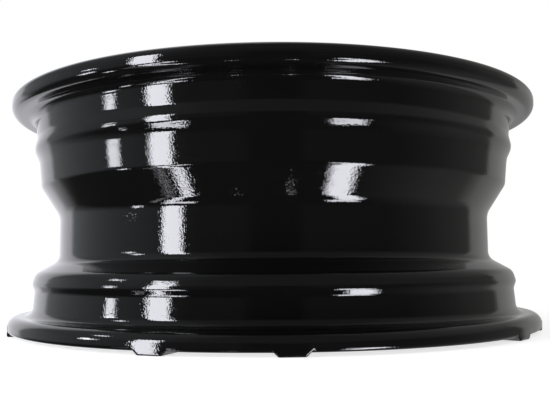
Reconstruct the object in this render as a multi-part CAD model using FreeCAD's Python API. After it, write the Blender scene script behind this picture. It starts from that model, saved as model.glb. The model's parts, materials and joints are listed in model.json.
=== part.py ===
import FreeCAD
import Part

import math
import os

from FreeCAD import Vector

# Cast aluminium trailer wheel, 15 x 6 in, with five split spokes, lying on its face.
# +Z is the wheel's axis and points inboard, towards the vehicle. The origin is the centre of the
# hub's mounting face, and one split spoke points along -Y. The wheel is one casting, so it is one
# solid. Lengths are in millimetres and angles in degrees.

# Rim
seat_diameter = 380.2        # bead seat of a 15 in rim
rim_width = 149.2            # between the two flange faces, close to 6 in
wheel_offset = 1.6           # from the hub's mounting face to the middle of the rim, inboard
flange_height = 17.3         # from bead seat to flange top
inboard_flange = 13.4        # thickness of the flange on the vehicle's side
outboard_flange = 11.4       # thickness of the lip on the face side
flange_edge_round = 5.0      # outer edge of the inboard flange
lip_edge_round = 3.6         # outer edge of the lip
flange_face_round = 6.5      # edge of each flange on the tyre's side
bead_corner_round = 7.5      # corner between flange and bead seat
seat_taper = 5.0
seat_length = 16.5           # from the inboard flange's face to the foot of its safety hump
hump_rise = 1.9              # crown of each safety hump over its foot
hump_length = 8.5            # from the foot of the inboard hump to its crown
outboard_seat_length = 18.0  # from the outboard flange's face to the foot of its hump
outboard_hump_length = 5.2
ledge_depth = 3.3            # ledge behind the inboard hump, below the bead seat
ledge_run = 8.0              # from the inboard hump's crown to the ledge
ledge_length = 19.0
ledge_taper = 5.5
well_depth = 19.2            # drop centre below the bead seat
well_cone_run = 25.0         # cone from the ledge down to the drop centre
shoulder_depth = 1.9         # outboard shoulder of the drop centre, below the bead seat
shoulder_run = 7.8           # from the outboard hump's crown to the shoulder
well_wall_run = 9.7          # steep wall from the shoulder down to the drop centre
well_round = 8.0

# Barrel walls
well_wall = 5.0              # at the drop centre and its steep wall
ledge_wall = 5.5             # at the ledge's inner end
mouth_wall = 6.0             # below the inboard bead seat
lip_wall = 6.5               # below the outboard bead seat
lip_round = 3.0

# Spokes
spoke_count = 5
arm_spread = 22.7            # angle between the two arms of a split spoke, at their ends
crown_width = 15.5           # flat crown of an arm
arm_bevel = 5.0              # bevelled edges beside the crown
arm_draft = 4.0
arm_depth = 22.0             # axial depth of an arm at both ends of its arch
arm_root_spread = 20.0       # between the two arms' middle lines at the hub
spoke_proud = 2.4            # crown of the spokes in front of the lip
spoke_end_inset = 0.5        # spoke ends stop short of the flange's outer edge
spoke_seat = 3.0             # spoke ends are cast this deep into the lip
crown_length = 19.5          # level end of the crown, before it curves inboard
crotch_width = 15.0          # slot between two arms where it ends
web_recess = 2.0             # web between two arms, behind the ends of their arch
web_thickness = 16.0

# Hub
hub_diameter = 156.0         # at the mounting face
hub_thickness = 46.0
hub_draft = 4.0
centre_bore = 81.0
spoke_clearance = 4.0        # spokes stay this far behind the mounting face

# Lug holes
lug_count = 5
lug_circle = 114.3           # 4 1/2 in
lug_hole = 15.0              # for 1/2 in studs
lug_land = 10.0              # straight part of a lug hole
lug_seat_angle = 60.0        # conical nut seat
lug_pocket = 28.5            # clearance for the nut and its socket

# Valve hole
valve_hole = 11.5

# Radii and heights that follow from the sizes above
seat_r = seat_diameter / 2
flange_r = seat_r + flange_height
inboard_face = wheel_offset + rim_width / 2
outboard_face = wheel_offset - rim_width / 2
inboard_end = inboard_face + inboard_flange
lip_end = outboard_face - outboard_flange
hump_foot_r = seat_r - seat_length * math.tan(math.radians(seat_taper))
hump_r = hump_foot_r + hump_rise
inboard_foot = inboard_face - seat_length
inboard_crown = inboard_foot - hump_length
ledge_start = inboard_crown - ledge_run
ledge_end = ledge_start - ledge_length
ledge_r = seat_r - ledge_depth
ledge_end_r = ledge_r - ledge_length * math.tan(math.radians(ledge_taper))
well_start = ledge_end - well_cone_run
well_r = seat_r - well_depth
outboard_foot = outboard_face + outboard_seat_length
outboard_foot_r = seat_r - outboard_seat_length * math.tan(math.radians(seat_taper))
outboard_hump_r = outboard_foot_r + hump_rise
outboard_crown = outboard_foot + outboard_hump_length
shoulder = outboard_crown + shoulder_run
shoulder_r = seat_r - shoulder_depth
well_end = shoulder + well_wall_run
lip_r = seat_r - lip_wall
crown_z = lip_end - spoke_proud
spoke_end_r = flange_r - spoke_end_inset
dish_r = spoke_end_r - crown_length
hub_r = hub_diameter / 2
hub_front = -hub_thickness
hub_front_r = hub_r - hub_thickness * math.tan(math.radians(hub_draft))

axis = Vector(0, 0, 1)
origin = Vector(0, 0, 0)


def corner_points(before, corner, after, rounding, flats):
    """Points that round a corner with flats that touch the true arc and turn by equal angles."""
    to_before = (before - corner).normalize()
    to_after = (after - corner).normalize()
    half_angle = to_before.getAngle(to_after) / 2
    setback = rounding / math.tan(half_angle)
    step = (math.pi - 2 * half_angle) / (flats + 1)
    centre = corner + (to_before + to_after).normalize() * (rounding / math.sin(half_angle))
    start = corner + to_before * setback - centre
    end = corner + to_after * setback - centre
    points = []
    for index in range(flats + 1):
        swing = FreeCAD.Rotation(start.cross(end), math.degrees(step * (index + 0.5)))
        points.append(centre + swing.multVec(start) * (1 / math.cos(step / 2)))
    return points


def turned(corners):
    """A solid of revolution from corners (radius, height, round, flats) in the XZ plane."""
    places = [Vector(r, 0, z) for r, z, rounding, flats in corners]
    outline = []
    for index, (r, z, rounding, flats) in enumerate(corners):
        if flats:
            after = places[(index + 1) % len(places)]
            outline += corner_points(places[index - 1], places[index], after, rounding, flats)
        else:
            outline.append(places[index])
    face = Part.Face(Part.makePolygon(outline + outline[:1]))
    return face.revolve(origin, axis, 360)


def about_axis(shape, angle):
    """A copy of a shape, turned about the wheel's axis."""
    copy = shape.copy()
    copy.rotate(origin, axis, angle)
    return copy


def make_rim():
    """The barrel with its flanges, bead seats, safety humps and drop centre."""
    wall_slope = well_wall_run / (shoulder_r - well_r)
    wall_shift = well_wall * math.hypot(1, wall_slope)
    neck_r = well_r - well_wall
    neck_z = well_end - wall_shift + well_wall * wall_slope
    lip_foot = well_end - wall_shift - (lip_r - well_r) * wall_slope
    return turned([
        (seat_r - mouth_wall, inboard_end, 0, 0),
        (flange_r, inboard_end, flange_edge_round, 2),
        (flange_r, inboard_face, flange_face_round, 1),
        (seat_r, inboard_face, bead_corner_round, 1),
        (hump_foot_r, inboard_foot, 0, 0),
        (hump_r, inboard_crown, 0, 0),
        (ledge_r, ledge_start, 0, 0),
        (ledge_end_r, ledge_end, 0, 0),
        (well_r, well_start, 0, 0),
        (well_r, well_end, well_round, 1),
        (shoulder_r, shoulder, well_round, 1),
        (outboard_hump_r, outboard_crown, 0, 0),
        (outboard_foot_r, outboard_foot, 0, 0),
        (seat_r, outboard_face, bead_corner_round, 1),
        (flange_r, outboard_face, flange_face_round, 1),
        (flange_r, lip_end, lip_edge_round, 1),
        (lip_r, lip_end, lip_round, 1),
        (lip_r, lip_foot, 0, 0),
        (neck_r, neck_z, 0, 0),
        (neck_r, well_start, 0, 0),
        (ledge_end_r - ledge_wall, ledge_end, 0, 0),
    ])


def make_hub():
    """The hub's body, from its mounting face to its front, without holes."""
    return turned([
        (0, 0, 0, 0),
        (hub_r, 0, 0, 0),
        (hub_front_r, hub_front, 0, 0),
        (0, hub_front, 0, 0),
    ])


def chord_z(x):
    """Height of the straight line under the dished crown, from the crown's level end to the hub."""
    return crown_z + (dish_r - x) / (dish_r - hub_front_r) * (hub_front - crown_z)


def across(edges, half_width):
    """A bar across the XZ plane whose side view has these edges."""
    bar = Part.Face(Part.Wire(edges)).extrude(Vector(0, 2 * half_width, 0))
    bar.translate(Vector(0, -half_width, 0))
    return bar


def make_arm():
    """An arm along +X: level crown at the lip, arched down to the hub, with a straight back."""
    run = dish_r - hub_front_r
    rise = hub_front - crown_z
    radius = (run ** 2 + rise ** 2) / (2 * rise)
    half_turn = math.asin(run / radius) / 2
    lip_point = Vector(flange_r, 0, crown_z)
    dish_point = Vector(dish_r, 0, crown_z)
    arch_point = dish_point + Vector(-math.sin(half_turn), 0, 1 - math.cos(half_turn)) * radius
    hub_point = Vector(hub_front_r, 0, hub_front)
    root = Vector(centre_bore / 2, 0, hub_front)
    back_root = Vector(centre_bore / 2, 0, chord_z(centre_bore / 2) + arm_depth)
    back_lip = Vector(flange_r, 0, chord_z(flange_r) + arm_depth)
    body = across([
        Part.LineSegment(lip_point, dish_point).toShape(),
        Part.Arc(dish_point, arch_point, hub_point).toShape(),
        Part.LineSegment(hub_point, root).toShape(),
        Part.LineSegment(root, back_root).toShape(),
        Part.LineSegment(back_root, back_lip).toShape(),
        Part.LineSegment(back_lip, lip_point).toShape(),
    ], hub_r)
    return body.common(arm_flanks())


def make_web(end_x, half_width):
    """The recessed web between two arms, from the hub to x = end_x."""
    front = [Vector(x, 0, chord_z(x) + web_recess) for x in (centre_bore / 2, end_x)]
    back = [point + Vector(0, 0, web_thickness) for point in reversed(front)]
    corners = front + back
    return across(Part.makePolygon(corners + corners[:1]).Edges, half_width)


def arm_flanks():
    """The space between an arm's flanks: bevels beside the crown, then draft up to the hub."""
    half_crown = crown_width / 2
    half_bevel = half_crown + arm_bevel
    half_top = half_bevel - (crown_z + arm_bevel) * math.tan(math.radians(arm_draft))
    side = [(half_crown, crown_z), (half_bevel, crown_z + arm_bevel), (half_top, 0)]
    points = [Vector(0, y, z) for y, z in side] + [Vector(0, -y, z) for y, z in reversed(side)]
    return Part.Face(Part.makePolygon(points + points[:1])).extrude(Vector(flange_r, 0, 0))


def make_split_spoke():
    """One split spoke along +X: two arms, and the web that joins them near the hub."""
    half_spread = math.radians(arm_spread / 2)
    end_x = spoke_end_r * math.cos(half_spread)
    end_y = spoke_end_r * math.sin(half_spread)
    lean = math.atan2(end_y - arm_root_spread / 2, end_x - hub_front_r)

    arm = make_arm()
    arm.translate(Vector(-spoke_end_r, 0, 0))
    arm.rotate(origin, axis, math.degrees(lean))
    arm.translate(Vector(end_x, end_y, 0))
    twin = arm.mirror(origin, Vector(0, 1, 0))

    half_width = (crown_width / 2 + arm_bevel) / math.cos(lean) + crotch_width / 2
    web_x = hub_front_r + (half_width - arm_root_spread / 2) / math.tan(lean)
    slot_r = crotch_width / 2 * math.cos(lean)
    slot_end = Part.makeCylinder(slot_r, -2 * crown_z, Vector(web_x, 0, 2 * crown_z))
    web = make_web(web_x, half_width).cut(slot_end)
    return arm.fuse([twin, web])


def spoke_room():
    """The space that spokes may fill: the dish up to the barrel's wall, and the front of the lip."""
    wall_middle = seat_r - lip_wall / 2
    return turned([
        (0, -spoke_clearance, 0, 0),
        (wall_middle, -spoke_clearance, 0, 0),
        (wall_middle, lip_end + spoke_seat, 0, 0),
        (spoke_end_r, lip_end + spoke_seat, 0, 0),
        (spoke_end_r, 2 * crown_z, 0, 0),
        (0, 2 * crown_z, 0, 0),
    ])


def lug_cutter():
    """One lug hole with its conical nut seat and socket pocket, along the wheel's axis."""
    seat_depth = (lug_pocket - lug_hole) / 2 / math.tan(math.radians(lug_seat_angle / 2))
    return turned([
        (0, hub_thickness, 0, 0),
        (lug_hole / 2, hub_thickness, 0, 0),
        (lug_hole / 2, -lug_land, 0, 0),
        (lug_pocket / 2, -lug_land - seat_depth, 0, 0),
        (lug_pocket / 2, 2 * crown_z, 0, 0),
        (0, 2 * crown_z, 0, 0),
    ])


def valve_cutter():
    """The valve hole, square to the steep wall of the drop centre."""
    slope = math.atan2(shoulder_r - well_r, well_wall_run)
    outwards = Vector(0, math.cos(slope), math.sin(slope))
    wall_middle = Vector(0, (shoulder_r + well_r) / 2, (shoulder + well_end) / 2)
    reach = 2 * well_wall
    return Part.makeCylinder(valve_hole / 2, 2 * reach, wall_middle - outwards * reach, outwards)


def make_wheel():
    """The whole casting, with its machined holes."""
    pitch = 360 / spoke_count
    first_spoke = -90
    spoke = make_split_spoke().common(spoke_room())
    spokes = [about_axis(spoke, first_spoke + pitch * index) for index in range(spoke_count)]
    casting = make_rim().fuse([make_hub()] + spokes).removeSplitter()

    bore = Part.makeCylinder(centre_bore / 2, 4 * hub_thickness, Vector(0, 0, -2 * hub_thickness))
    lug = lug_cutter()
    lug.translate(Vector(lug_circle / 2, 0, 0))
    first_lug = first_spoke + pitch / 2
    lugs = [about_axis(lug, first_lug + 360 / lug_count * index) for index in range(lug_count)]
    return casting.cut([bore, valve_cutter()] + lugs)


os.makedirs("parts", exist_ok=True)
wheel = make_wheel()
wheel.exportStep("parts/wheel.step")
print("wheel: valid", wheel.isValid(), "solids", len(wheel.Solids), "faces", len(wheel.Faces))
print("wheel: volume in litres", round(wheel.Volume / 1e6, 4))
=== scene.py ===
import json
import logging
import math
from dataclasses import dataclass
from enum import Enum
from typing import Any, NamedTuple, Sequence

import bmesh
import bpy
from bpy.types import ID, Material, Mesh, Node, NodesModifier, NodeSocket, NodeTree, Object
from mathutils import Matrix, Vector


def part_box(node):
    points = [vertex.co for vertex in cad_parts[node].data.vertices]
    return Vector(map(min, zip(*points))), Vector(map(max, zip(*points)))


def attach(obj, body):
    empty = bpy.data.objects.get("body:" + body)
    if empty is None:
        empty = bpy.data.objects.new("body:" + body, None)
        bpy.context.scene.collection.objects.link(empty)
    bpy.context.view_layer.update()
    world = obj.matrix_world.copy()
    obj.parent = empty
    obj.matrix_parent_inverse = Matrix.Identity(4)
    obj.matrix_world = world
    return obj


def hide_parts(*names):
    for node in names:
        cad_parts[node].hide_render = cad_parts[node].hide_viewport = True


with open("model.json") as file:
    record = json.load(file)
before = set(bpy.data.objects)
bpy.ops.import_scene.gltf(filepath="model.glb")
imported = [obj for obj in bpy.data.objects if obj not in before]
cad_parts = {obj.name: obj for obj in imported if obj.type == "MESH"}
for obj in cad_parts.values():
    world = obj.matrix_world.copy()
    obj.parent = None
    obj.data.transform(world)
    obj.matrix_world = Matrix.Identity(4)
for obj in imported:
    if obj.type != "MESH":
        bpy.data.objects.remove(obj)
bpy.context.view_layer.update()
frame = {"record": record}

logging.basicConfig(level=logging.INFO, format="%(message)s")
log = logging.getLogger("trailer_wheel")

MM = 0.001
IMAGE_WIDTH = 550
SENSOR_WIDTH = 36.0
HEADING_DEG = 8.65
WELD_MM = 0.002
WHITE = "#ffffff"
MATH = "ShaderNodeMath"
WHOLE = "FunctionNodeIntegerMath"


class Outline(Enum):
    """How a turned outline meets the axis: a ring stays clear of it, a plug starts and ends on it."""

    RING = 1
    PLUG = 0


class Joining(Enum):
    """What a boolean step does with the solids it is given."""

    FUSE = "UNION"
    CUT = "DIFFERENCE"


class Corner(NamedTuple):
    """A corner of a turned outline: radius, height and the radius of its rounding, in mm."""

    r: float
    z: float
    rounding: float


class Station(NamedTuple):
    """A place along a spoke's arm: distance, whether it lies on the lip, and how far it is drawn in."""

    x: float
    on_lip: bool
    inset: float


def linear(hex_colour: str) -> tuple[float, float, float, float]:
    """Turn an sRGB hex colour into linear RGBA.

    Args:
        hex_colour: Six hex digits after a hash sign.

    Returns:
        The colour in Blender's linear working space, with full alpha.
    """
    channels = [int(hex_colour[i:i + 2], 16) / 255 for i in (1, 3, 5)]
    steps = [c / 12.92 if c <= 0.04045 else ((c + 0.055) / 1.055) ** 2.4 for c in channels]
    return (steps[0], steps[1], steps[2], 1.0)


def add_node(tree: NodeTree, kind: str, sockets: dict[Any, Any] | None = None,
             **settings: Any) -> Node:
    """Add one node to a tree.

    Args:
        tree: The tree that gets the node.
        kind: Blender's type name of the node.
        sockets: Input name or number, with a constant, or the output to link from, or the node
            whose first output that is.
        **settings: Properties of the node itself.

    Returns:
        The new node.
    """
    node = tree.nodes.new(kind)
    for name, value in settings.items():
        setattr(node, name, value)
    for name, value in (sockets or {}).items():
        source = value.outputs[0] if isinstance(value, Node) else value
        if isinstance(source, NodeSocket):
            tree.links.new(source, node.inputs[name])
        else:
            node.inputs[name].default_value = value
    return node


def new_tree(name: str, inputs: Sequence[tuple[str, str]]) -> NodeTree:
    """Start a Geometry Nodes tree that takes and gives geometry.

    Args:
        name: The tree's name.
        inputs: Name and kind of each further input.

    Returns:
        The tree with its sockets.
    """
    tree = bpy.data.node_groups.new(name, "GeometryNodeTree")
    for label, kind in [("Geometry", "Geometry"), *inputs]:
        tree.interface.new_socket(label, in_out="INPUT", socket_type=f"NodeSocket{kind}")
    tree.interface.new_socket("Geometry", in_out="OUTPUT", socket_type="NodeSocketGeometry")
    return tree


def new_material(name: str) -> tuple[Material, NodeTree]:
    """Make a material with an empty node tree.

    Args:
        name: The material's name.

    Returns:
        The material and its tree.
    """
    material = bpy.data.materials.new(name)
    material.use_nodes = True
    material.node_tree.nodes.clear()
    return material, material.node_tree


def looked_at(tree: NodeTree) -> NodeSocket:
    """Add nodes that tell rays that show the backdrop from rays that only carry its light.

    Args:
        tree: The tree that gets the nodes.

    Returns:
        1 for a ray from the camera, a glossy surface or glass, and 0 for any other.
    """
    path = add_node(tree, "ShaderNodeLightPath").outputs
    seen = path["Is Camera Ray"]
    for kind in ("Is Glossy Ray", "Is Transmission Ray"):
        seen = add_node(tree, MATH, {0: seen, 1: path[kind]}, operation="MAXIMUM").outputs[0]
    return seen


def rounded_outline(corners: Sequence[Corner], kind: Outline) -> list[Vector]:
    """Round the corners of an outline with true arcs, and set a support point beside each arc.

    Args:
        corners: The outline's corners in order.
        kind: Whether the last corner joins the first.

    Returns:
        The points as (radius, height) in mm.
    """
    places = [Vector((c.r, c.z)) for c in corners]
    count = len(places)
    arcs: list[Vector] = []
    for index, corner in enumerate(corners):
        at_end = kind is Outline.PLUG and index in (0, count - 1)
        if corner.rounding == 0 or at_end:
            arcs.append(places[index])
            continue
        after = places[(index + 1) % count]
        arcs += corner_arc(places[index - 1], places[index], after, corner.rounding)
    return with_supports(arcs, kind)


def corner_arc(before: Vector, corner: Vector, after: Vector, rounding: float,
               step_deg: float = 9.0, most_of_side: float = 0.66) -> list[Vector]:
    """Points on the arc that rounds one corner.

    Args:
        before: The corner before this one.
        corner: The corner that is rounded.
        after: The corner after this one.
        rounding: The arc's radius.
        step_deg: The largest turn between two points.
        most_of_side: The largest share of a side that the arc may take.

    Returns:
        The arc's points, from the side of before to the side of after.
    """
    to_before = (before - corner).normalized()
    to_after = (after - corner).normalized()
    turn = math.pi - to_before.angle(to_after)
    if turn < 0.01:
        return [corner]
    setback = rounding * math.tan(turn / 2)
    room = min((before - corner).length, (after - corner).length) * most_of_side
    if setback > room:
        rounding *= room / setback
        setback = room
    centre = corner + (to_before + to_after).normalized() * (rounding / math.cos(turn / 2))
    start = corner + to_before * setback - centre
    side = 1.0 if to_before.x * to_after.y - to_before.y * to_after.x < 0 else -1.0
    steps = max(2, math.ceil(math.degrees(turn) / step_deg))
    return [centre + Matrix.Rotation(side * turn * k / steps, 2) @ start for k in range(steps + 1)]


def fixed_arc(before: Vector, corner: Vector, after: Vector, rounding: float,
              steps: int = 4, most_of_side: float = 0.45) -> list[Vector]:
    """A set number of points that round a corner as a smooth curve inside its two tangents.

    Args:
        before: The corner before this one.
        corner: The corner that is rounded.
        after: The corner after this one.
        rounding: The radius of the rounding.
        steps: The number of steps along the curve.
        most_of_side: The largest share of a side that the curve may take.

    Returns:
        One point more than the steps, also where the corner is nearly straight.
    """
    to_before = before - corner
    to_after = after - corner
    turn = math.pi - to_before.angle(to_after)
    room = min(to_before.length * most_of_side, to_after.length * most_of_side)
    setback = max(min(rounding * math.tan(turn / 2), room), 0.05)
    start = corner + to_before.normalized() * setback
    end = corner + to_after.normalized() * setback
    weight = math.cos(turn / 2)
    points = []
    for step in range(steps + 1):
        t = step / steps
        a, b, c = (1 - t) ** 2, 2 * t * (1 - t) * weight, t ** 2
        points.append((start * a + corner * b + end * c) / (a + b + c))
    return points


def with_supports(points: Sequence[Vector], kind: Outline, long_run: float = 2.4,
                  inset: float = 0.5) -> list[Vector]:
    """Add a point just inside both ends of each long straight, so that flats shade flat.

    Args:
        points: The outline's points in mm.
        kind: Whether the last point joins the first.
        long_run: The length past which a straight is long.
        inset: How far inside the straight's ends the new points lie.

    Returns:
        The points with the new ones among them.
    """
    result: list[Vector] = []
    for index, point in enumerate(points):
        result.append(point)
        if kind is Outline.PLUG and index == len(points) - 1:
            continue
        run = points[(index + 1) % len(points)] - point
        if run.length > long_run:
            step = run.normalized() * inset
            result += [point + step, point + run - step]
    return result


def loft(rings: Sequence[Sequence[Vector]]) -> tuple[list[Vector], list[list[int]]]:
    """Join rings of points by a skin that is open at both ends.

    Args:
        rings: Rings with the same number of points.

    Returns:
        All points in order, and the skin's faces.
    """
    width = len(rings[0])
    faces: list[list[int]] = []
    for last in range(0, (len(rings) - 1) * width, width):
        this = last + width
        faces += [[last + k, last + (k + 1) % width, this + (k + 1) % width, this + k]
                  for k in range(width)]
    return [point for ring in rings for point in ring], faces


def new_object(name: str, data: ID) -> Object:
    """Put a new object with a mesh, lamp or camera in the scene."""
    bpy.context.scene.collection.objects.link(thing := bpy.data.objects.new(name, data))
    return thing


def mesh_object(name: str, points: Sequence[Vector], faces: Sequence[Sequence[int]],
                edges: Sequence[Sequence[int]] = ()) -> Object:
    """Make a mesh object in the scene from points in mm.

    Args:
        name: The object's name.
        points: Three-dimensional points in mm.
        faces: Lists of point numbers.
        edges: Pairs of point numbers, for a bare outline.

    Returns:
        The new object, with its faces pointing outwards.
    """
    mesh = bpy.data.meshes.new(name)
    mesh.from_pydata([p * MM for p in points], edges, faces)
    if faces:
        face_outwards(mesh)
    return new_object(name, mesh)


def face_outwards(mesh: Mesh) -> None:
    """Turn all faces of a closed mesh outwards.

    Args:
        mesh: The mesh, which is changed.
    """
    work = bmesh.new()
    work.from_mesh(mesh)
    bmesh.ops.recalc_face_normals(work, faces=work.faces)
    work.to_mesh(mesh)
    work.free()


def set_inputs(modifier: NodesModifier, values: dict[str, Any]) -> None:
    """Set a Geometry Nodes modifier's named inputs by their identifiers.

    Args:
        modifier: The modifier, with its tree already chosen.
        values: Input name and value.
    """
    for item in modifier.node_group.interface.items_tree:
        if item.item_type == "SOCKET" and item.in_out == "INPUT" and item.name in values:
            modifier[item.identifier] = values[item.name]


def apply_modifiers(thing: Object, name: str) -> None:
    """Give an object the plain mesh that its modifiers make, and remove them.

    Args:
        thing: The object to evaluate.
        name: The new mesh's name.
    """
    bpy.context.view_layer.update()
    graph = bpy.context.evaluated_depsgraph_get()
    mesh = bpy.data.meshes.new_from_object(thing.evaluated_get(graph), depsgraph=graph)
    bare = thing.data
    thing.modifiers.clear()
    thing.data = mesh
    bpy.data.meshes.remove(bare)
    mesh.name = name


class Lathe:
    """Turns outlines about the Z axis with one Geometry Nodes tree."""

    def __init__(self) -> None:
        """Build the tree."""
        self.tree = self.build_tree()

    def build_tree(self) -> NodeTree:
        """Build a tree that lays a grid round the axis, one column for each outline point.

        Returns:
            The tree, with the inputs Segments and Ring.
        """
        tree = new_tree("turned_outline", [("Segments", "Int"), ("Ring", "Int")])
        given = add_node(tree, "NodeGroupInput").outputs
        segments = given["Segments"]
        size = add_node(tree, "GeometryNodeAttributeDomainSize", {"Geometry": given["Geometry"]})
        points = size.outputs["Point Count"]
        columns = add_node(tree, WHOLE, {0: points, 1: given["Ring"]}, operation="ADD")
        rows = add_node(tree, WHOLE, {0: segments, 1: 1}, operation="ADD")
        grid = add_node(tree, "GeometryNodeMeshGrid", {"Vertices X": rows, "Vertices Y": columns})
        index = add_node(tree, "GeometryNodeInputIndex")
        row = add_node(tree, WHOLE, {0: index, 1: columns}, operation="DIVIDE_FLOOR")
        column = add_node(tree, WHOLE, {0: index, 1: columns}, operation="FLOORED_MODULO")
        row = add_node(tree, WHOLE, {0: row, 1: segments}, operation="FLOORED_MODULO")
        column = add_node(tree, WHOLE, {0: column, 1: points}, operation="FLOORED_MODULO")
        place = add_node(tree, "GeometryNodeInputPosition")
        sample = add_node(tree, "GeometryNodeSampleIndex",
                          {"Geometry": given["Geometry"], "Value": place, "Index": column},
                          data_type="FLOAT_VECTOR", domain="POINT")
        outline = add_node(tree, "ShaderNodeSeparateXYZ", {0: sample}).outputs
        share = add_node(tree, MATH, {0: row, 1: segments}, operation="DIVIDE")
        angle = add_node(tree, MATH, {0: share, 1: math.tau}, operation="MULTIPLY")
        cosine = add_node(tree, MATH, {0: angle}, operation="COSINE")
        sine = add_node(tree, MATH, {0: angle}, operation="SINE")
        x = add_node(tree, MATH, {0: outline["X"], 1: cosine}, operation="MULTIPLY")
        y = add_node(tree, MATH, {0: outline["X"], 1: sine}, operation="MULTIPLY")
        turned = add_node(tree, "ShaderNodeCombineXYZ", {0: x, 1: y, 2: outline["Z"]})
        moved = add_node(tree, "GeometryNodeSetPosition",
                         {"Geometry": grid.outputs["Mesh"], "Position": turned})
        closed = add_node(tree, "GeometryNodeMergeByDistance",
                          {"Geometry": moved, "Distance": WELD_MM * MM})
        add_node(tree, "NodeGroupOutput", {"Geometry": closed})
        return tree

    def turn(self, name: str, corners: Sequence[Corner], kind: Outline,
             segments: int) -> Object:
        """Turn an outline about the Z axis.

        Args:
            name: The new object's name.
            corners: The outline's corners in mm.
            kind: A ring or a plug.
            segments: The number of faces round the axis.

        Returns:
            A closed, plain mesh object.
        """
        points = [Vector((p.x, 0, p.y)) for p in rounded_outline(corners, kind)]
        edges = [(i, i + 1) for i in range(len(points) - 1)]
        thing = mesh_object(name, points, [], edges)
        modifier = thing.modifiers.new("turned", "NODES")
        modifier.node_group = self.tree
        set_inputs(modifier, {"Segments": segments, "Ring": kind.value})
        apply_modifiers(thing, name)
        face_outwards(thing.data)
        return thing


@dataclass(frozen=True)
class GlossBlackCoat:
    """Gloss black powder coat baked on a cast aluminium wheel."""

    colour: str = "#0a0a0a"
    roughness: float = 0.03
    peel_mm: float = 2.4
    peel_height_mm: float = 0.022
    grain_mm: float = 0.85
    grain_height_mm: float = 0.027
    haze_mm: float = 45.0

    def material(self) -> Material:
        """Build the coat's material.

        Returns:
            A procedural material on Object coordinates.
        """
        # Deep black with sharp reflections, whose edges break up into specks on the fine orange peel.
        # The coat's real grain is too fine to show in the render, so it is drawn coarser.
        material, tree = new_material("gloss_black_powder_coat")
        place = add_node(tree, "ShaderNodeTexCoord").outputs["Object"]
        peel = add_node(tree, "ShaderNodeTexNoise", {
            "Vector": place, "Scale": 1 / (self.peel_mm * MM), "Detail": 1.5, "Roughness": 0.45})
        grain = add_node(tree, "ShaderNodeTexNoise", {
            "Vector": place, "Scale": 1 / (self.grain_mm * MM), "Detail": 0.0})
        haze = add_node(tree, "ShaderNodeTexNoise", {
            "Vector": place, "Scale": 1 / (self.haze_mm * MM), "Detail": 3.0, "Roughness": 0.6})
        gloss = add_node(tree, "ShaderNodeMapRange", {
            "Value": haze, "From Min": 0.3, "From Max": 0.7,
            "To Min": self.roughness * 0.8, "To Max": self.roughness * 1.25})
        coarse = add_node(tree, "ShaderNodeBump", {
            "Height": peel, "Strength": 1.0, "Distance": self.peel_height_mm * MM})
        fine = add_node(tree, "ShaderNodeBump", {
            "Height": grain, "Strength": 1.0, "Distance": self.grain_height_mm * MM,
            "Normal": coarse})
        shader = add_node(tree, "ShaderNodeBsdfPrincipled", {
            "Base Color": linear(self.colour), "Roughness": gloss, "IOR": 1.5,
            "Normal": fine})
        add_node(tree, "ShaderNodeOutputMaterial", {"Surface": shader})
        return material


@dataclass(frozen=True)
class PaleFloorFinish:
    """Seamless white paper under the wheel."""

    colour: str = "#f2f2f2"
    lift: float = 0.72

    def material(self) -> Material:
        """Build the paper's material.

        Returns:
            A material that is white to the camera, takes the wheel's shadow and is clear from below.
        """
        # Matt paper: a soft contact shadow under the wheel, and nothing else to see.
        material, tree = new_material("white_paper_floor")
        paper = add_node(tree, "ShaderNodeBsdfDiffuse", {"Color": linear(self.colour)})
        glow = add_node(tree, "ShaderNodeEmission", {"Color": linear(WHITE), "Strength": self.lift})
        both = add_node(tree, "ShaderNodeAddShader", {0: paper, 1: glow})
        mixed = add_node(tree, "ShaderNodeMixShader", {0: looked_at(tree), 1: paper, 2: both})
        below = add_node(tree, "ShaderNodeNewGeometry").outputs["Backfacing"]
        clear = add_node(tree, "ShaderNodeBsdfTransparent")
        sided = add_node(tree, "ShaderNodeMixShader", {0: below, 1: mixed, 2: clear})
        add_node(tree, "ShaderNodeOutputMaterial", {"Surface": sided})
        return material


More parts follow.
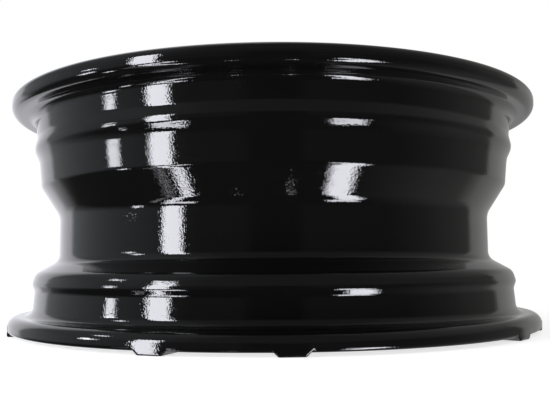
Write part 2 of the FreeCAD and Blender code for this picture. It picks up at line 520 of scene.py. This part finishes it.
@dataclass(frozen=True)
class PaintedReflectionShell:
    """Painted reflections: a glowing shell that shows the studio as the gloss coat mirrors it: dark in
    front, paler at both sides, behind and overhead.

    Each list of stops gives painted glow colours round the wheel, by the angle from the camera's side in
    degrees.
    The two last fields are the heights in metres over which the ground turns into the walls, and the
    walls into what is overhead.
    """

    heading_deg: float = HEADING_DEG
    glow: float = 1.7
    walls: tuple[tuple[float, str], ...] = (
        (-180, "#b0b0b3"), (-160, "#cfcfd5"), (-138, "#dcdce2"), (-125, "#e4e4ea"), (-121, "#929599"),
        (-95, "#828689"), (-64, "#6c6f70"), (-36, "#373737"), (-14, "#343434"), (-9, "#171717"),
        (10, "#171717"), (15, "#343434"), (55, "#373737"), (90, "#5e5e5d"), (114, "#5e5e5d"),
        (118, "#a4a4a3"), (150, "#868685"), (180, "#b0b0b3"))
    # The ground stops paint a dark reflected ground in front of the wheel, while the paper floor itself
    # is white.
    ground: tuple[tuple[float, str], ...] = (
        (-180, "#b0b0b3"), (-160, "#cfcfd5"), (-138, "#e4e4ea"), (-133, "#34332f"), (-95, "#141412"),
        (-40, "#151514"), (0, "#151514"), (45, "#242424"), (90, "#6c6c6b"), (110, "#6c6c6b"),
        (122, "#9a9a99"), (150, "#868685"), (180, "#b0b0b3"))
    overhead: tuple[tuple[float, str], ...] = (
        (-180, "#b0b0b3"), (-140, "#d8d8de"), (-128, "#c4c4c8"), (-120, "#727476"), (-64, "#7c7e80"),
        (-30, "#545454"), (0, "#4e4e4e"), (40, "#545454"), (90, "#757574"), (140, "#7c7c7b"),
        (180, "#b0b0b3"))
    wall_foot: tuple[float, float] = (-0.9, -0.25)
    wall_top: tuple[float, float] = (0.5, 1.1)

    def ramp(self, tree: NodeTree, share: NodeSocket,
             stops: Sequence[tuple[float, str]]) -> NodeSocket:
        """Add a colour ramp that goes once round the wheel.

        Args:
            tree: The tree that gets the ramp.
            share: The angle round the wheel, from 0 to 1.
            stops: Angles in degrees and their colours.

        Returns:
            The ramp's colour.
        """
        node = add_node(tree, "ShaderNodeValToRGB", {0: share})
        elements = node.color_ramp.elements
        while len(elements) < len(stops):
            elements.new(0.5)
        for element, (azimuth, colour) in zip(elements, stops):
            element.position = (azimuth + 180) / 360
            element.color = linear(colour)
        return node.outputs[0]

    def material(self) -> Material:
        """Build the shell's material.

        Returns:
            A material that glows by its direction from the wheel.
        """
        # Painted reflections: soft grey gradients on the coat, and a bright edge where it mirrors the
        # shell's pale back, which stands in for the paper behind.
        material, tree = new_material("dim_studio_walls")
        place = add_node(tree, "ShaderNodeTexCoord").outputs["Object"]
        turned = add_node(tree, "ShaderNodeMapping", {"Vector": place}, vector_type="POINT")
        turned.inputs["Rotation"].default_value[2] = math.radians(-self.heading_deg)
        axes = add_node(tree, "ShaderNodeSeparateXYZ", {0: turned}).outputs
        front = add_node(tree, MATH, {0: axes["Y"], 1: -1.0}, operation="MULTIPLY")
        angle = add_node(tree, MATH, {0: axes["X"], 1: front}, operation="ARCTAN2")
        share = add_node(tree, "ShaderNodeMapRange", {
            "Value": angle, "From Min": -math.pi, "From Max": math.pi}).outputs[0]
        colour = self.ramp(tree, share, self.ground)
        for (low, high), stops in ((self.wall_foot, self.walls), (self.wall_top, self.overhead)):
            rise = add_node(tree, "ShaderNodeMapRange", {
                "Value": axes["Z"], "From Min": low, "From Max": high})
            above = self.ramp(tree, share, stops)
            colour = add_node(tree, "ShaderNodeMix", {0: rise, 6: colour, 7: above},
                              data_type="RGBA").outputs[2]
        glow = add_node(tree, "ShaderNodeEmission", {"Color": colour, "Strength": self.glow})
        add_node(tree, "ShaderNodeOutputMaterial", {"Surface": glow})
        return material


@dataclass
class Rim:
    """The 15 x 6 in rim: flanges, bead seats, safety humps, ledge and drop centre, in mm."""

    seat_r: float = 190.1
    flange_r: float = 207.4
    inboard_face: float = 76.2
    outboard_face: float = -73.0
    inboard_end: float = 89.6
    lip_end: float = -84.4
    flange_edge: float = 5.0
    lip_edge: float = 2.4
    flange_back: float = 6.5
    lip_back: float = 8.6
    bead_corner: float = 6.5
    foot_r: float = 188.656
    foot_z: float = 59.7
    hump_r: float = 190.556
    hump_z: float = 51.2
    outboard_foot_r: float = 188.525
    outboard_foot_z: float = -55.0
    outboard_hump_r: float = 190.425
    outboard_hump_z: float = -49.8
    hump_round: float = 8.0
    outboard_hump_round: float = 5.0
    foot_round: float = 6.0
    ledge_round: float = 19.0
    ledge_r: float = 186.8
    ledge_z: float = 43.2
    ledge_end_r: float = 184.87
    ledge_end_z: float = 23.2
    well_r: float = 170.9
    well_start: float = 1.4
    well_end: float = -32.3
    shoulder_r: float = 188.2
    shoulder_z: float = -42.0
    well_round: float = 8.0
    cone_round: float = 6.0
    cone_foot_round: float = 14.0
    barrel_round: float = 12.0
    mouth_r: float = 184.1
    throat_r: float = 179.47
    neck_r: float = 165.9
    neck_z: float = -35.23
    lip_r: float = 183.6
    lip_foot: float = -45.15
    lip_round: float = 3.0
    mouth_round: float = 2.5
    segments: int = 264

    def corners(self) -> list[Corner]:
        """Corners of the section, from the inboard mouth round the outside to the barrel's inside."""
        return [
            Corner(self.mouth_r, self.inboard_end, self.mouth_round),
            Corner(self.flange_r, self.inboard_end, self.flange_edge),
            Corner(self.flange_r, self.inboard_face, self.flange_back),
            Corner(self.seat_r, self.inboard_face, self.bead_corner),
            Corner(self.foot_r, self.foot_z, self.foot_round),
            Corner(self.hump_r, self.hump_z, self.hump_round),
            Corner(self.ledge_r, self.ledge_z, self.ledge_round),
            Corner(self.ledge_end_r, self.ledge_end_z, self.cone_round),
            Corner(self.well_r, self.well_start, self.cone_foot_round),
            Corner(self.well_r, self.well_end, self.well_round),
            Corner(self.shoulder_r, self.shoulder_z, self.well_round),
            Corner(self.outboard_hump_r, self.outboard_hump_z, self.outboard_hump_round),
            Corner(self.outboard_foot_r, self.outboard_foot_z, self.foot_round),
            Corner(self.seat_r, self.outboard_face, self.bead_corner),
            Corner(self.flange_r, self.outboard_face, self.lip_back),
            Corner(self.flange_r, self.lip_end, self.lip_edge),
            Corner(self.lip_r, self.lip_end, self.lip_round),
            Corner(self.lip_r, self.lip_foot, self.barrel_round),
            Corner(self.neck_r, self.neck_z, self.barrel_round),
            Corner(self.neck_r, self.well_start, self.barrel_round),
            Corner(self.throat_r, self.ledge_end_z, self.barrel_round),
        ]

    def build(self, lathe: Lathe) -> Object:
        """Turn the rim as one closed ring."""
        return lathe.turn("rim_ring", self.corners(), Outline.RING, self.segments)


@dataclass
class Hub:
    """The hub with its centre bore, lug holes and the mounting face at z = 0, in mm."""

    radius: float = 78.0
    thickness: float = 46.0
    draft_deg: float = 4.0
    bore_r: float = 40.5
    lug_hole_r: float = 7.5
    lug_land: float = 10.0
    lug_pocket_r: float = 14.25
    lug_seat_deg: float = 60.0
    lug_edge: float = 0.8
    edge: float = 3.0
    face_edge: float = 2.0
    bore_edge: float = 1.0
    bore_front_edge: float = 2.0
    segments: int = 192
    lug_segments: int = 64

    @property
    def front_r(self) -> float:
        """Radius of the hub at its front."""
        return self.radius - self.thickness * math.tan(math.radians(self.draft_deg))

    def build(self, lathe: Lathe) -> Object:
        """Turn the hub as a ring round its bore."""
        return lathe.turn("hub_ring", [
            Corner(self.bore_r, 0, self.bore_edge),
            Corner(self.radius, 0, self.face_edge),
            Corner(self.front_r, -self.thickness, self.edge),
            Corner(self.bore_r, -self.thickness, self.bore_front_edge),
        ], Outline.RING, self.segments)

    def lug_cutter(self, lathe: Lathe) -> Object:
        """Turn the shape of one lug hole: stud hole, conical nut seat and socket pocket.

        Args:
            lathe: The lathe that turns it.

        Returns:
            A closed plug along the Z axis.
        """
        seat = (self.lug_pocket_r - self.lug_hole_r) / math.tan(math.radians(self.lug_seat_deg / 2))
        reach = 5.0
        pocket_edge = self.lug_edge * 2
        return lathe.turn("lug_plug", [
            Corner(0, reach, 0),
            Corner(self.lug_hole_r + self.lug_edge + reach, reach, 0),
            Corner(self.lug_hole_r, -self.lug_edge, 1.0),
            Corner(self.lug_hole_r, -self.lug_land, 0.6),
            Corner(self.lug_pocket_r, -self.lug_land - seat, 1.2),
            Corner(self.lug_pocket_r, pocket_edge - self.thickness, 2.0),
            Corner(self.lug_pocket_r + pocket_edge + reach, -self.thickness - reach, 0),
            Corner(0, -self.thickness - reach, 0),
        ], Outline.PLUG, self.lug_segments)


@dataclass
class ValveHole:
    """The valve hole, square to the steep wall of the drop centre, in mm."""

    radius: float
    wall: float
    middle: Vector
    axis: Vector
    edge: float = 0.6
    edge_round: float = 0.8
    segments: int = 48

    @classmethod
    def from_record(cls, record: dict[str, Any]) -> "ValveHole":
        """Read the valve hole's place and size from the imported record.

        Args:
            record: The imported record.

        Returns:
            The valve hole in mm.
        """
        mount = next(m for m in record["mounts"] if m["name"] == "valve_hole")
        return cls(mount["dims"]["r_mm"], mount["dims"]["length_mm"],
                   Vector(mount["pos_m"]) / MM, Vector(mount["axis"]).normalized())

    def cutter(self, lathe: Lathe) -> Object:
        """Turn the hole's shape with both edges broken, and set it square to the wall.

        Args:
            lathe: The lathe that turns it.

        Returns:
            A closed plug in its place.
        """
        half = self.wall / 2
        reach = 3.0
        wide = self.radius + self.edge + reach
        plug = lathe.turn("valve_plug", [
            Corner(0, half + reach, 0),
            Corner(wide, half + reach, 0),
            Corner(self.radius, half - self.edge, self.edge_round),
            Corner(self.radius, self.edge - half, self.edge_round),
            Corner(wide, -half - reach, 0),
            Corner(0, -half - reach, 0),
        ], Outline.PLUG, self.segments)
        turn = Vector((0, 0, 1)).rotation_difference(self.axis).to_matrix().to_4x4()
        plug.data.transform(Matrix.Translation(self.middle * MM) @ turn)
        return plug


@dataclass
class SplitSpoke:
    """One split spoke along +X: two arched arms over the lip and the web between them, in mm."""

    rim: Rim
    hub: Hub
    crown_z: float = -86.8
    spread_deg: float = 22.7
    crown_width: float = 15.5
    bevel: float = 5.0
    hub_bevel: float = 3.0
    shoulder: float = 0.6
    draft_deg: float = 4.0
    depth: float = 22.0
    root_spread: float = 20.0
    end_inset: float = -0.12
    seat: float = 5.0
    crown_length: float = 19.5
    bow_run: float = 10.0
    crotch_width: float = 15.0
    web_recess: float = 2.0
    web_thickness: float = 16.0
    web_round: float = 2.5
    crown_round: float = 1.6
    bevel_round: float = 2.4
    back_round: float = 4.0
    end_round: float = 1.4
    fillet: float = 8.0
    overlap: float = 2.0
    root_x: float = 58.0
    inner_steps: int = 44
    lip_steps: int = 6
    end_steps: int = 5

    @property
    def end_r(self) -> float:
        """Radius at which the arms end on the lip."""
        return self.rim.flange_r - self.end_inset

    @property
    def dish_r(self) -> float:
        """Radius at which the level crown starts to curve inboard."""
        return self.end_r - self.crown_length

    @property
    def end_point(self) -> Vector:
        """Middle of the end of the arm on the +Y side."""
        half = math.radians(self.spread_deg / 2)
        return Vector((math.cos(half), math.sin(half), 0)) * self.end_r

    @property
    def lean(self) -> float:
        """Angle between an arm and the spoke's middle line, in radians."""
        end = self.end_point
        return math.atan2(end.y - self.root_spread / 2, end.x - self.hub.front_r)

    def chord(self, x: float) -> float:
        """Height of the straight line under the arched crown."""
        slope = (-self.hub.thickness - self.crown_z) / (self.dish_r - self.hub.front_r)
        return self.crown_z + (self.dish_r - x) * slope

    def crown(self, x: float) -> float:
        """Height of the crown: level on the lip, then an arc down to the hub's front edge.

        Args:
            x: Distance along the arm.

        Returns:
            The height in mm.
        """
        if x >= self.dish_r:
            return self.crown_z
        run = self.dish_r - self.hub.front_r
        rise = -self.hub.thickness - self.crown_z
        radius = (run ** 2 + rise ** 2) / (2 * rise)
        return self.crown_z + radius - math.sqrt(radius ** 2 - (self.dish_r - x) ** 2)

    def half_width(self, z: float) -> float:
        """Half the arm's width between its drafted flanks."""
        drop = z - (self.crown_z + self.bevel)
        return self.crown_width / 2 + self.bevel + drop * math.tan(math.radians(self.draft_deg))

    def flare(self, x: float) -> float:
        """How far a flank or back stands out in the cast fillets at the hub and the barrel.

        Args:
            x: Distance along the arm.

        Returns:
            The distance in mm, 0 clear of the fillets.
        """
        gap = min(x - self.hub.front_r - self.overlap, self.rim.lip_r - x)
        reach = self.fillet - max(gap, 0.0)
        if reach <= 0:
            return 0.0
        return self.fillet - math.sqrt(self.fillet ** 2 - reach ** 2)

    def section(self, station: Station) -> list[Vector]:
        """Rounded section of an arm, square to its length.

        Args:
            station: The place along the arm.

        Returns:
            The section's points as (across, height), the same number at every place.
        """
        x, on_lip, inset = station
        share = min(max((x - self.hub.front_r) / (self.dish_r - self.hub.front_r), 0.0), 1.0)
        bevel = self.hub_bevel + (self.bevel - self.hub_bevel) * share
        flare = 0.0 if on_lip else self.flare(x)
        crown = self.crown(x) + inset
        edge_z = self.crown(x) + bevel
        edge = self.half_width(edge_z) - inset
        shoulder_z = edge_z + self.shoulder + flare
        back_z = self.rim.lip_end + self.seat if on_lip else self.chord(x) + self.depth + flare
        shoulder = self.half_width(shoulder_z) + flare - inset
        back = self.half_width(back_z) + flare - inset
        side = [
            (edge - bevel + inset * 0.4, crown, self.crown_round),
            (edge, edge_z, self.bevel_round),
            (shoulder, shoulder_z, self.fillet),
            (back, back_z, self.back_round),
        ]
        ring = side + [(-y, z, rounding) for y, z, rounding in reversed(side)]
        places = [Vector((y, z)) for y, z, rounding in ring]
        points: list[Vector] = []
        for index, (y, z, rounding) in enumerate(ring):
            after = places[(index + 1) % len(places)]
            points += fixed_arc(places[index - 1], places[index], after, rounding)
        return points

    def stations(self) -> list[Station]:
        """Places along an arm at which its section is set.

        Returns:
            The places in order, from the hub to the end.
        """
        wall_x = self.rim.lip_r + self.overlap
        lip_x = wall_x + 0.02
        straight = self.end_r - self.end_round
        inner = (wall_x - self.root_x) / self.inner_steps
        outer = (straight - wall_x) / self.lip_steps
        places = [Station(self.root_x + inner * k, False, 0.0) for k in range(self.inner_steps + 1)]
        places += [Station(lip_x + outer * k, True, 0.0) for k in range(self.lip_steps + 1)]
        for k in range(1, self.end_steps + 1):
            angle = math.radians(90 * k / self.end_steps)
            along = lip_x - wall_x + self.end_round * math.sin(angle)
            places.append(Station(straight + along, True, self.end_round * (1 - math.cos(angle))))
        return places

    def arm(self, name: str, side: int) -> Object:
        """Loft one arm.

        Args:
            name: The object's name.
            side: 1 for the arm on +Y, -1 for its twin.

        Returns:
            A closed solid in its place.
        """
        stations = self.stations()
        sections = [self.section(station) for station in stations]
        points, faces = loft([[self.placed(station.x, y, z, side) for y, z in section]
                              for station, section in zip(stations, sections)])
        self.close_end(points, faces, sections[-1], stations[-1].x, side)
        faces.append(list(range(len(sections[0]))))
        return mesh_object(name, points, faces)

    def placed(self, x: float, y: float, z: float, side: int) -> Vector:
        """Place of a section's point in the wheel.

        Args:
            x: Distance along the arm, measured as a radius at its end.
            y: Distance across the arm.
            z: Height.
            side: 1 for the arm on +Y, -1 for its twin.

        Returns:
            The point, with the arm's end bowed to lie flush with the lip's outer edge.
        """
        end = self.end_point
        tilt = self.lean - math.radians(self.spread_deg / 2)
        share = min(max((x - self.dish_r) / self.bow_run, 0.0), 1.0)
        along = x - self.end_r - share * (y ** 2 / (2 * self.end_r) - y * math.tan(tilt))
        cosine, sine = math.cos(self.lean), math.sin(self.lean)
        return Vector((end.x + along * cosine - y * sine,
                       side * (end.y + along * sine + y * cosine), z))

    def close_end(self, points: list[Vector], faces: list[list[int]], ring: Sequence[Vector],
                  x: float, side: int, columns: int = 8) -> None:
        """Close the arm's outer end with a grid that follows the lip's round.

        Args:
            points: The arm's points so far, the last ring at their end; the grid's are added.
            faces: The arm's skin, the last ring's faces at its end; the grid's are added.
            ring: The last section.
            x: Distance of the last section along the arm.
            side: 1 for the arm on +Y, -1 for its twin.
            columns: The number of faces across the end.
        """
        width = len(ring)
        half = width // 2
        base = len(points) - width
        rows: list[list[int]] = []
        for k in range(half):
            first = len(points)
            y, z = ring[k]
            points += [self.placed(x, y * (1 - 2 * j / columns), z, side) for j in range(1, columns)]
            rows.append([base + k, *range(first, len(points)), base + width - 1 - k])
        crown_face, back_face = faces[-1], faces[-half - 1]
        crown_face[2:] = rows[0]
        back_face[2:] = reversed(rows[-1])
        for upper, lower in zip(rows, rows[1:]):
            faces += [[upper[j], upper[j + 1], lower[j + 1], lower[j]] for j in range(columns)]

    def web(self) -> Object:
        """Loft the recessed web between the arms, with the round end of the slot.

        Returns:
            A closed solid whose sides lie inside the arms.
        """
        half = (self.crown_width / 2 + self.bevel) / math.cos(self.lean) + self.crotch_width / 2
        end_x = self.hub.front_r + (half - self.root_spread / 2) / math.tan(self.lean)
        slot_r = self.crotch_width / 2 * math.cos(self.lean)
        edge_turns = [math.radians(15 * k) for k in range(7)]
        slot_turns = [math.radians(9 * k) for k in range(21)]
        levels = [(self.web_round * (1 - math.cos(a)), self.web_round * (1 - math.sin(a)))
                  for a in edge_turns]
        levels += [(self.web_thickness - depth, grow) for depth, grow in reversed(levels)]
        rings: list[list[Vector]] = []
        for depth, grow in levels:
            radius = slot_r + grow
            outline = [(self.root_x, -half), (end_x, -half)]
            outline += [(end_x - radius * math.sin(a), -radius * math.cos(a)) for a in slot_turns]
            outline += [(end_x, half), (self.root_x, half)]
            rings.append([Vector((x, y, self.chord(x) + self.web_recess + depth)) for x, y in outline])
        points, faces = loft(rings)
        width = len(rings[0])
        faces += [list(range(width)), list(range(len(points) - width, len(points)))]
        return mesh_object("spoke_web", points, faces)


@dataclass
class Wheel:
    """The whole casting: rim, hub and five split spokes fused, then drilled."""

    rim: Rim
    hub: Hub
    spoke: SplitSpoke
    valve: ValveHole
    finish: GlossBlackCoat
    lug_circle_r: float
    spoke_count: int = 5
    lug_count: int = 5
    first_spoke_deg: float = -90.0
    crease_deg: float = 34.0
    normal_weight: int = 60

    def around_axis(self, tree: NodeTree, shape: NodeSocket,
                    count: NodeSocket, first: NodeSocket) -> NodeSocket:
        """Add nodes that repeat a shape round the Z axis.

        Args:
            tree: The tree that gets the nodes.
            shape: The geometry to repeat.
            count: How many there are.
            first: The turn of the first one, in radians.

        Returns:
            The repeated shapes as real geometry.
        """
        points = add_node(tree, "GeometryNodePoints", {"Count": count})
        index = add_node(tree, "GeometryNodeInputIndex")
        share = add_node(tree, MATH, {0: index, 1: count}, operation="DIVIDE")
        angle = add_node(tree, MATH, {0: share, 1: math.tau, 2: first}, operation="MULTIPLY_ADD")
        turn = add_node(tree, "ShaderNodeCombineXYZ", {2: angle})
        copies = add_node(tree, "GeometryNodeInstanceOnPoints", {
            "Points": points, "Instance": shape, "Rotation": turn})
        real = add_node(tree, "GeometryNodeRealizeInstances", {"Geometry": copies})
        return real.outputs[0]

    def combine(self, tree: NodeTree, joining: Joining, base: NodeSocket | None,
                others: Sequence[NodeSocket]) -> NodeSocket:
        """Add a boolean node.

        Args:
            tree: The tree that gets the node.
            joining: Whether solids are fused or cut.
            base: The solid that is cut, or None.
            others: The solids that are fused, or that cut.

        Returns:
            The resulting geometry.
        """
        node = add_node(tree, "GeometryNodeMeshBoolean", operation=joining.value, solver="MANIFOLD")
        if base is not None:
            tree.links.new(base, node.inputs["Mesh 1"])
        for other in others:
            tree.links.new(other, node.inputs["Mesh 2"])
        return node.outputs["Mesh"]

    def build_tree(self) -> NodeTree:
        """Build the tree that repeats the spokes and lug holes and makes the casting one solid.

        Returns:
            The tree, with named inputs for its solids, counts and turns.
        """
        names = ("Rim", "Hub", "Arm", "Twin Arm", "Web", "Lug Hole", "Valve Hole")
        inputs = [(name, "Object") for name in names]
        inputs += [(name, "Int") for name in ("Spoke Count", "Lug Count")]
        inputs += [(name, "Float") for name in ("First Spoke", "First Lug", "Lug Circle Radius")]
        tree = new_tree("wheel_casting", [*inputs, ("Coat", "Material")])
        given = add_node(tree, "NodeGroupInput").outputs
        solids = {}
        for name in names:
            info = add_node(tree, "GeometryNodeObjectInfo", {"Object": given[name]})
            solids[name] = info.outputs["Geometry"]
        parts = [solids["Arm"], solids["Twin Arm"], solids["Web"]]
        spoke = self.combine(tree, Joining.FUSE, None, parts)
        spokes = self.around_axis(tree, spoke, given["Spoke Count"], given["First Spoke"])
        casting = self.combine(tree, Joining.FUSE, None, [solids["Rim"], solids["Hub"], spokes])
        out_to_circle = add_node(tree, "ShaderNodeCombineXYZ", {0: given["Lug Circle Radius"]})
        lug = add_node(tree, "GeometryNodeTransform", {
            "Geometry": solids["Lug Hole"], "Translation": out_to_circle})
        lugs = self.around_axis(tree, lug.outputs[0], given["Lug Count"], given["First Lug"])
        drilled = self.combine(tree, Joining.CUT, casting, [lugs, solids["Valve Hole"]])
        real = add_node(tree, "GeometryNodeRealizeInstances", {"Geometry": drilled})
        coated = add_node(tree, "GeometryNodeSetMaterial", {
            "Geometry": real, "Material": given["Coat"]})
        add_node(tree, "NodeGroupOutput", {"Geometry": coated})
        return tree

    def build(self) -> Object:
        """Build the wheel as one closed, smooth piece.

        Returns:
            The piece, coated, riding on the root body and standing for the CAD node.
        """
        lathe = Lathe()
        solids = {
            "Rim": self.rim.build(lathe),
            "Hub": self.hub.build(lathe),
            "Arm": self.spoke.arm("spoke_arm", 1),
            "Twin Arm": self.spoke.arm("spoke_twin_arm", -1),
            "Web": self.spoke.web(),
            "Lug Hole": self.hub.lug_cutter(lathe),
            "Valve Hole": self.valve.cutter(lathe),
        }
        piece = mesh_object("cast_wheel", [], [])
        modifier = piece.modifiers.new("casting", "NODES")
        modifier.node_group = self.build_tree()
        set_inputs(modifier, {
            **solids,
            "Spoke Count": self.spoke_count,
            "Lug Count": self.lug_count,
            "First Spoke": math.radians(self.first_spoke_deg),
            "First Lug": math.radians(self.first_spoke_deg + 180 / self.spoke_count),
            "Lug Circle Radius": self.lug_circle_r * MM,
            "Coat": self.finish.material(),
        })
        apply_modifiers(piece, "cast_wheel_mesh")
        for solid in solids.values():
            bpy.data.meshes.remove(solid.data)
        self.smooth(piece)
        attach(piece, "root")
        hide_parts("wheel")
        return piece

    def smooth(self, piece: Object) -> None:
        """Shade the casting smooth, with creases only where two walls meet sharply.

        Args:
            piece: The casting.
        """
        piece.data.shade_smooth()
        piece.data.set_sharp_from_angle(angle=math.radians(self.crease_deg))
        weights = piece.modifiers.new("weights", "WEIGHTED_NORMAL")
        weights.keep_sharp = True
        weights.weight = self.normal_weight
        apply_modifiers(piece, "cast_wheel_mesh")


@dataclass
class PhotoCamera:
    """The photograph's camera: low, close and slightly tilted up."""

    heading_deg: float = HEADING_DEG
    distance: float = 608.0
    height: float = -36.0
    focal_px: float = 729.7
    pitch_deg: float = 5.0
    roll_deg: float = -0.445
    yaw_deg: float = 0.107

    def build(self) -> Object:
        """Set up the scene's camera.

        Returns:
            The camera object.
        """
        data = bpy.data.cameras.new("photo_camera")
        data.sensor_width = SENSOR_WIDTH
        data.lens = self.focal_px / IMAGE_WIDTH * SENSOR_WIDTH
        data.clip_start = 0.01
        data.clip_end = 100.0
        camera = new_object("photo_camera", data)
        heading = Matrix.Rotation(math.radians(self.heading_deg), 3, "Z")
        yaw, pitch, roll = (math.radians(a) for a in (self.yaw_deg, self.pitch_deg, self.roll_deg))
        level = Vector((math.sin(yaw), math.cos(yaw), 0))
        forward = level * math.cos(pitch) + Vector((0, 0, math.sin(pitch)))
        right = Vector((math.cos(yaw), -math.sin(yaw), 0))
        up = right.cross(forward)
        level_right = right * math.cos(roll) + up * math.sin(roll)
        level_up = up * math.cos(roll) - right * math.sin(roll)
        axes = Matrix((level_right, level_up, -forward)).transposed()
        place = heading @ Vector((0, -self.distance, self.height)) * MM
        camera.matrix_world = Matrix.Translation(place) @ (heading @ axes).to_4x4()
        bpy.context.scene.camera = camera
        return camera


@dataclass(frozen=True)
class SoftPanel:
    """One soft light panel that stands upright, in mm.

    Its centre is given as seen from the camera's side: x right, y away from the camera, z up. The
    panel faces the upright line at aim, which is an x and a y.
    """

    name: str
    centre: tuple[float, float, float]
    aim: tuple[float, float]
    width: float
    height: float
    glow: float
    colour: str = "#f7f7ff"

    def build(self, heading_deg: float) -> Object:
        """Set up the panel as an area lamp.

        Args:
            heading_deg: The camera's heading, which the places are turned by.

        Returns:
            The lamp, which no camera sees.
        """
        data = bpy.data.lights.new(self.name, "AREA")
        data.shape = "RECTANGLE"
        data.size = self.width * MM
        data.size_y = self.height * MM
        data.energy = self.glow * math.pi * data.size * data.size_y
        data.color = linear(self.colour)[:3]
        lamp = new_object(self.name, data)
        heading = Matrix.Rotation(math.radians(heading_deg), 4, "Z")
        centre = Vector(self.centre)
        aim = Vector((*self.aim, centre.z)) - centre
        turn = aim.to_track_quat("-Z", "Y").to_matrix().to_4x4()
        lamp.matrix_world = heading @ Matrix.Translation(centre * MM) @ turn
        lamp.visible_camera = False
        return lamp


@dataclass
class Studio:
    """Pale floor, white surroundings, soft panels and a glowing shell of painted reflections that the
    coat mirrors.

    The radii are in metres.
    """

    floor_z: float
    heading_deg: float = HEADING_DEG
    ambient: float = 0.35
    floor_radius: float = 40.0
    shell_radius: float = 2.6
    panels: tuple[SoftPanel, ...] = (
        SoftPanel("tall_panel", (-842, -790, 90), (-66, -173), 200, 760, 19.0),
        SoftPanel("left_panel_foot", (-918, -690, -1140), (-66, -173), 100, 1000, 18.0),
        SoftPanel("left_panel_edge", (-1037, -536, -1140), (-66, -173), 40, 1000, 4.0),
        SoftPanel("left_panel_step", (-837, -797, -555), (-66, -173), 330, 170, 15.0),
        SoftPanel("narrow_panel", (-1070, -384, 138), (-100, -160), 100, 96, 14.5),
        SoftPanel("narrow_panel_ledge", (-245, -192, 33), (-100, -160), 25, 24, 13.5),
        SoftPanel("narrow_panel_lip", (-246, -196, -47), (-100, -162), 18, 26, 15.0),
        SoftPanel("right_panel_foot", (594, -724, -960), (46, -172), 218, 800, 18.5),
        SoftPanel("right_panel_step", (514, -793, -472), (46, -172), 250, 176, 15.0),
        SoftPanel("right_slit_foot", (190, -954, -1530), (0, -190), 50, 260, 12.0),
        SoftPanel("left_slit_foot", (-391, -873, -1500), (0, -190), 50, 260, 12.0),
    )

    def build(self) -> None:
        """Build the floor, the shell, the world and the lamps."""
        self.build_floor()
        self.build_shell()
        self.build_world()
        for panel in self.panels:
            panel.build(self.heading_deg)

    def dressed(self, name: str, work: bmesh.types.BMesh,
                material: Material) -> Object:
        """Turn a finished working mesh into an object.

        Args:
            name: The object's name.
            work: The working mesh, which is freed.
            material: The object's material.

        Returns:
            The object.
        """
        mesh = bpy.data.meshes.new(name)
        work.to_mesh(mesh)
        work.free()
        mesh.materials.append(material)
        return new_object(name, mesh)

    def build_floor(self) -> None:
        """Lay a large round sheet of paper just under the wheel."""
        work = bmesh.new()
        bmesh.ops.create_circle(work, cap_ends=True, segments=96, radius=self.floor_radius)
        bmesh.ops.translate(work, verts=work.verts, vec=(0, 0, self.floor_z - 0.1 * MM))
        floor = self.dressed("paper_floor", work, PaleFloorFinish().material())
        floor.visible_glossy = False
        floor.visible_shadow = False

    def build_shell(self) -> None:
        """Stand a round shell about the wheel that only its reflections see."""
        work = bmesh.new()
        bmesh.ops.create_uvsphere(work, u_segments=96, v_segments=48, radius=self.shell_radius)
        shell = self.dressed("studio_shell", work, PaintedReflectionShell(self.heading_deg).material())
        # The shell glows with painted reflections and is seen only by glossy rays.
        shell.visible_camera = False
        shell.visible_diffuse = False
        shell.visible_shadow = False
        shell.visible_transmission = False

    def build_world(self) -> None:
        """Light the scene evenly, and show plain white behind it."""
        world = bpy.data.worlds.new("white_surround")
        bpy.context.scene.world = world
        world.use_nodes = True
        tree = world.node_tree
        tree.nodes.clear()
        lit, white = (add_node(tree, "ShaderNodeBackground", {"Color": linear(WHITE), "Strength": level})
                      for level in (self.ambient, 1.0))
        mixed = add_node(tree, "ShaderNodeMixShader",
                         {0: looked_at(tree), 1: lit, 2: white})
        add_node(tree, "ShaderNodeOutputWorld", {"Surface": mixed})


def main() -> None:
    """Build the wheel, the camera and the studio, and log the wheel's triangle count and the camera's
    lens.
    """
    low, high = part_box("wheel")
    mounts = {mount["name"]: mount["dims"] for mount in frame["record"]["mounts"]}
    rim = Rim(flange_r=high.x / MM, inboard_end=high.z / MM)
    hub = Hub(bore_r=mounts["centre_bore"]["r_mm"], thickness=mounts["centre_bore"]["length_mm"],
              lug_hole_r=mounts["lug_holes"]["hole_r_mm"])
    spoke = SplitSpoke(rim, hub, crown_z=low.z / MM)
    wheel = Wheel(rim, hub, spoke, ValveHole.from_record(frame["record"]), GlossBlackCoat(),
                  lug_circle_r=mounts["lug_holes"]["pcd_mm"] / 2)
    piece = wheel.build()
    triangles = sum(len(face.vertices) - 2 for face in piece.data.polygons)
    log.info("%s: %d triangles", piece.name, triangles)
    camera = PhotoCamera().build()
    log.info("%s: lens %.2f mm", camera.name, camera.data.lens)
    Studio(floor_z=low.z).build()
    bpy.context.scene.view_settings.view_transform = "Standard"


if __name__ == "__main__":
    main()
